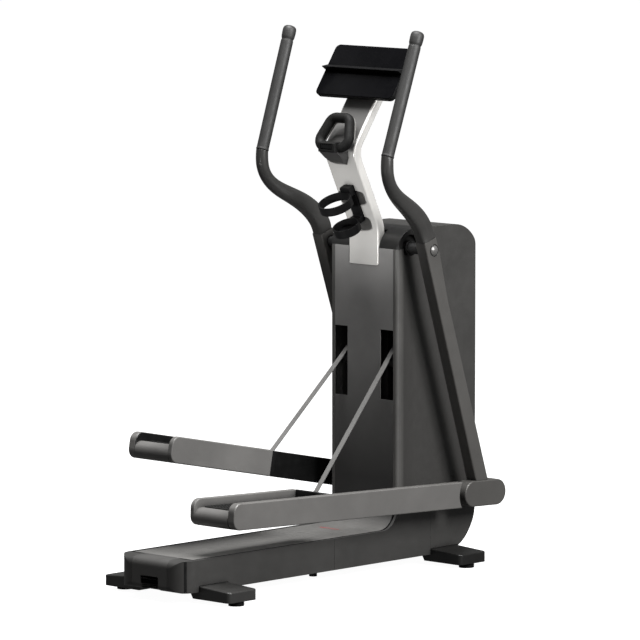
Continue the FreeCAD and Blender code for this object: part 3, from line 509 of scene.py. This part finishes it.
LEVELLING_FEET = [name for name in nodes if name.startswith("levelling_foot")]
PAINTED = {
    "shell_charcoal": ("column_shell_right", "column_shell_left"),
    "base_charcoal": ("base_shell_right", "base_shell_left"),
    "tail_charcoal": ("tail_cover",),
    "shoulder_charcoal": ("shoulder_cover",),
    "cowl_charcoal": ("front_cowl",),
    "panel_dark": ("tower_panel",),
    "lid_dark": ("base_lid",),
    "black_coat": ("base_frame", "tower_frame", "brake_magnet", "power_inlet", "centre_pad",
                   "main_axle"),
    "foot_coat": ("rear_stabiliser",),
    "front_foot_shaded_coat": ("front_stabiliser",),
    "silver_coat": ("mast",),
    "sensor_grey": ("loop_sensor",),
    "bracket_grey": ("loop_bracket",),
    "black_plastic": ("console_housing", "tablet_shelf", "rocker_key", "bottle_holder"),
    "gloss_black": ("console_screen",),
    "rubber_black": ("loop_grip", "transport_wheels", *LEVELLING_FEET),
    "turned_steel": ("drive_shaft",),
    "cap_coat": ("axle_caps",),
    "turned_iron": ("flywheel",),
}
PAINTED_EACH_SIDE = {
    "arm_coat": ("arm_tube_", "arm_foot_"),
    "handle_coat": ("handle_bar_",),
    "graphite_coat": ("pedal_beam_",),
    "tray_plastic": ("footplate_",),
    "turned_steel": ("arm_bearing_", "strap_bush_", "pivot_hub_"),
    "black_coat": ("strap_drum_", "guide_pulley_"),
    "strap_grey": ("strap_",),
}
for name, painted in PAINTED.items():
    paint(finish[name], *painted)
for side in ("right", "left"):
    for name, prefixes in PAINTED_EACH_SIDE.items():
        paint(finish[name], *[prefix + side for prefix in prefixes])
    tread_mat(side, finish["rubber_black"])
    hand_grip(side, finish["grip_rubber"])
for index, (start, end, half) in enumerate(LID_LINES):
    flat_strip(f"lid_line_{index}", start, end, half, finish["inlay_grey"])
flat_strip("lid_dash", *LID_DASH, finish["inlay_red"])


# ---------------------------------------------------------------- studio
FLOOR_REACH = 60.0
FLOOR_DARK = (0.30, 0.30, 0.30)
FLOOR_LIGHT = (0.32, 0.32, 0.32)
FLOOR_GLOW = 0.97
WHITE = (1.0, 1.0, 1.0, 1.0)
AMBIENT = (0.12, 0.12, 0.12, 1.0)

# Soft lamps: name, position, target, size, power.
LAMPS = [
    ("overhead", (0.2, -0.5, 5.6), (0, 0, 0.5), (3.2, 3.2), 640),
    ("key", (4.8, 0.1, 3.2), (0, -0.2, 0.6), (2.2, 2.6), 470),
    ("left", (-3.4, -1.5, 3.6), (0, -0.2, 0.8), (1.6, 2.0), 12),
]
GLOW_PLACE = (0.3, -4.3, 0.35)
GLOW_TARGET = (0, 0.22, 1.20)
GLOW_POWER = 860
GLOW_CONE = math.radians(6.5)
GLOW_SIZE = 0.12

CAMERA_PLACE = (13.0203, -13.6802, 2.970)
CAMERA_TURN = (math.radians(90 - 6.45), 0, math.radians(43.44))
CAMERA_LENS = 331.9


def make_floor():
    """Plain floor, much larger than the view, that shines evenly and throws no light on the machine."""
    mesh = bpy.data.meshes.new("floor")
    reach = FLOOR_REACH
    corners = [(-reach, -reach, 0), (reach, -reach, 0), (reach, reach, 0), (-reach, reach, 0)]
    mesh.from_pydata(corners, [], [(0, 1, 2, 3)])
    floor = bpy.data.objects.new("floor", mesh)
    scene.collection.objects.link(floor)
    n = Nodes("pale_floor")
    shade = n.blend(n.noise(3.0, 3.0), FLOOR_DARK, FLOOR_LIGHT)
    n.link(shade, n.shader.inputs["Base Color"])
    n.shader.inputs["Emission Color"].default_value = WHITE
    n.shader.inputs["Emission Strength"].default_value = FLOOR_GLOW
    n.shader.inputs["Roughness"].default_value = 0.9
    n.shader.inputs["Specular IOR Level"].default_value = 0.1
    mesh.materials.append(n.material)
    floor.visible_diffuse = False
    floor.visible_glossy = False


def aim_lamp(data, position, target):
    """Puts a lamp in the scene, turned towards a point."""
    lamp = bpy.data.objects.new(data.name, data)
    lamp.location = position
    aim = Vector(target) - Vector(position)
    lamp.rotation_euler = aim.to_track_quat("-Z", "Y").to_euler()
    scene.collection.objects.link(lamp)


def area_light(name, position, target, size, power):
    """Soft rectangular lamp aimed at a point."""
    data = bpy.data.lights.new(name, "AREA")
    data.shape = "RECTANGLE"
    data.size, data.size_y = size
    data.energy = power
    aim_lamp(data, position, target)


def mast_glow():
    """Narrow low lamp on the mast's plate below its bend."""
    data = bpy.data.lights.new("mast_glow", "SPOT")
    data.energy = GLOW_POWER
    data.spot_size = GLOW_CONE
    data.spot_blend = 0.5
    data.shadow_soft_size = GLOW_SIZE
    aim_lamp(data, GLOW_PLACE, GLOW_TARGET)


def make_surround():
    """White surround behind the machine, which lights it only weakly."""
    world = bpy.data.worlds.new("studio")
    world.use_nodes = True
    tree = world.node_tree
    background = tree.nodes["Background"]
    path = tree.nodes.new("ShaderNodeLightPath")
    mix = tree.nodes.new("ShaderNodeMix")
    mix.data_type = "RGBA"
    mix.inputs[6].default_value = AMBIENT
    mix.inputs[7].default_value = WHITE
    tree.links.new(path.outputs["Is Camera Ray"], mix.inputs[0])
    tree.links.new(mix.outputs[2], background.inputs["Color"])
    background.inputs["Strength"].default_value = 1.0
    scene.world = world


def make_camera():
    """Long-lens camera on the user's rear right."""
    data = bpy.data.cameras.new("camera")
    data.sensor_width = 36.0
    data.lens = CAMERA_LENS
    data.clip_end = 200.0
    camera = bpy.data.objects.new("camera", data)
    camera.location = CAMERA_PLACE
    camera.rotation_euler = CAMERA_TURN
    scene.collection.objects.link(camera)
    scene.camera = camera
    scene.view_settings.view_transform = "Standard"


make_floor()
make_surround()
for lamp_values in LAMPS:
    area_light(*lamp_values)
mast_glow()
make_camera()
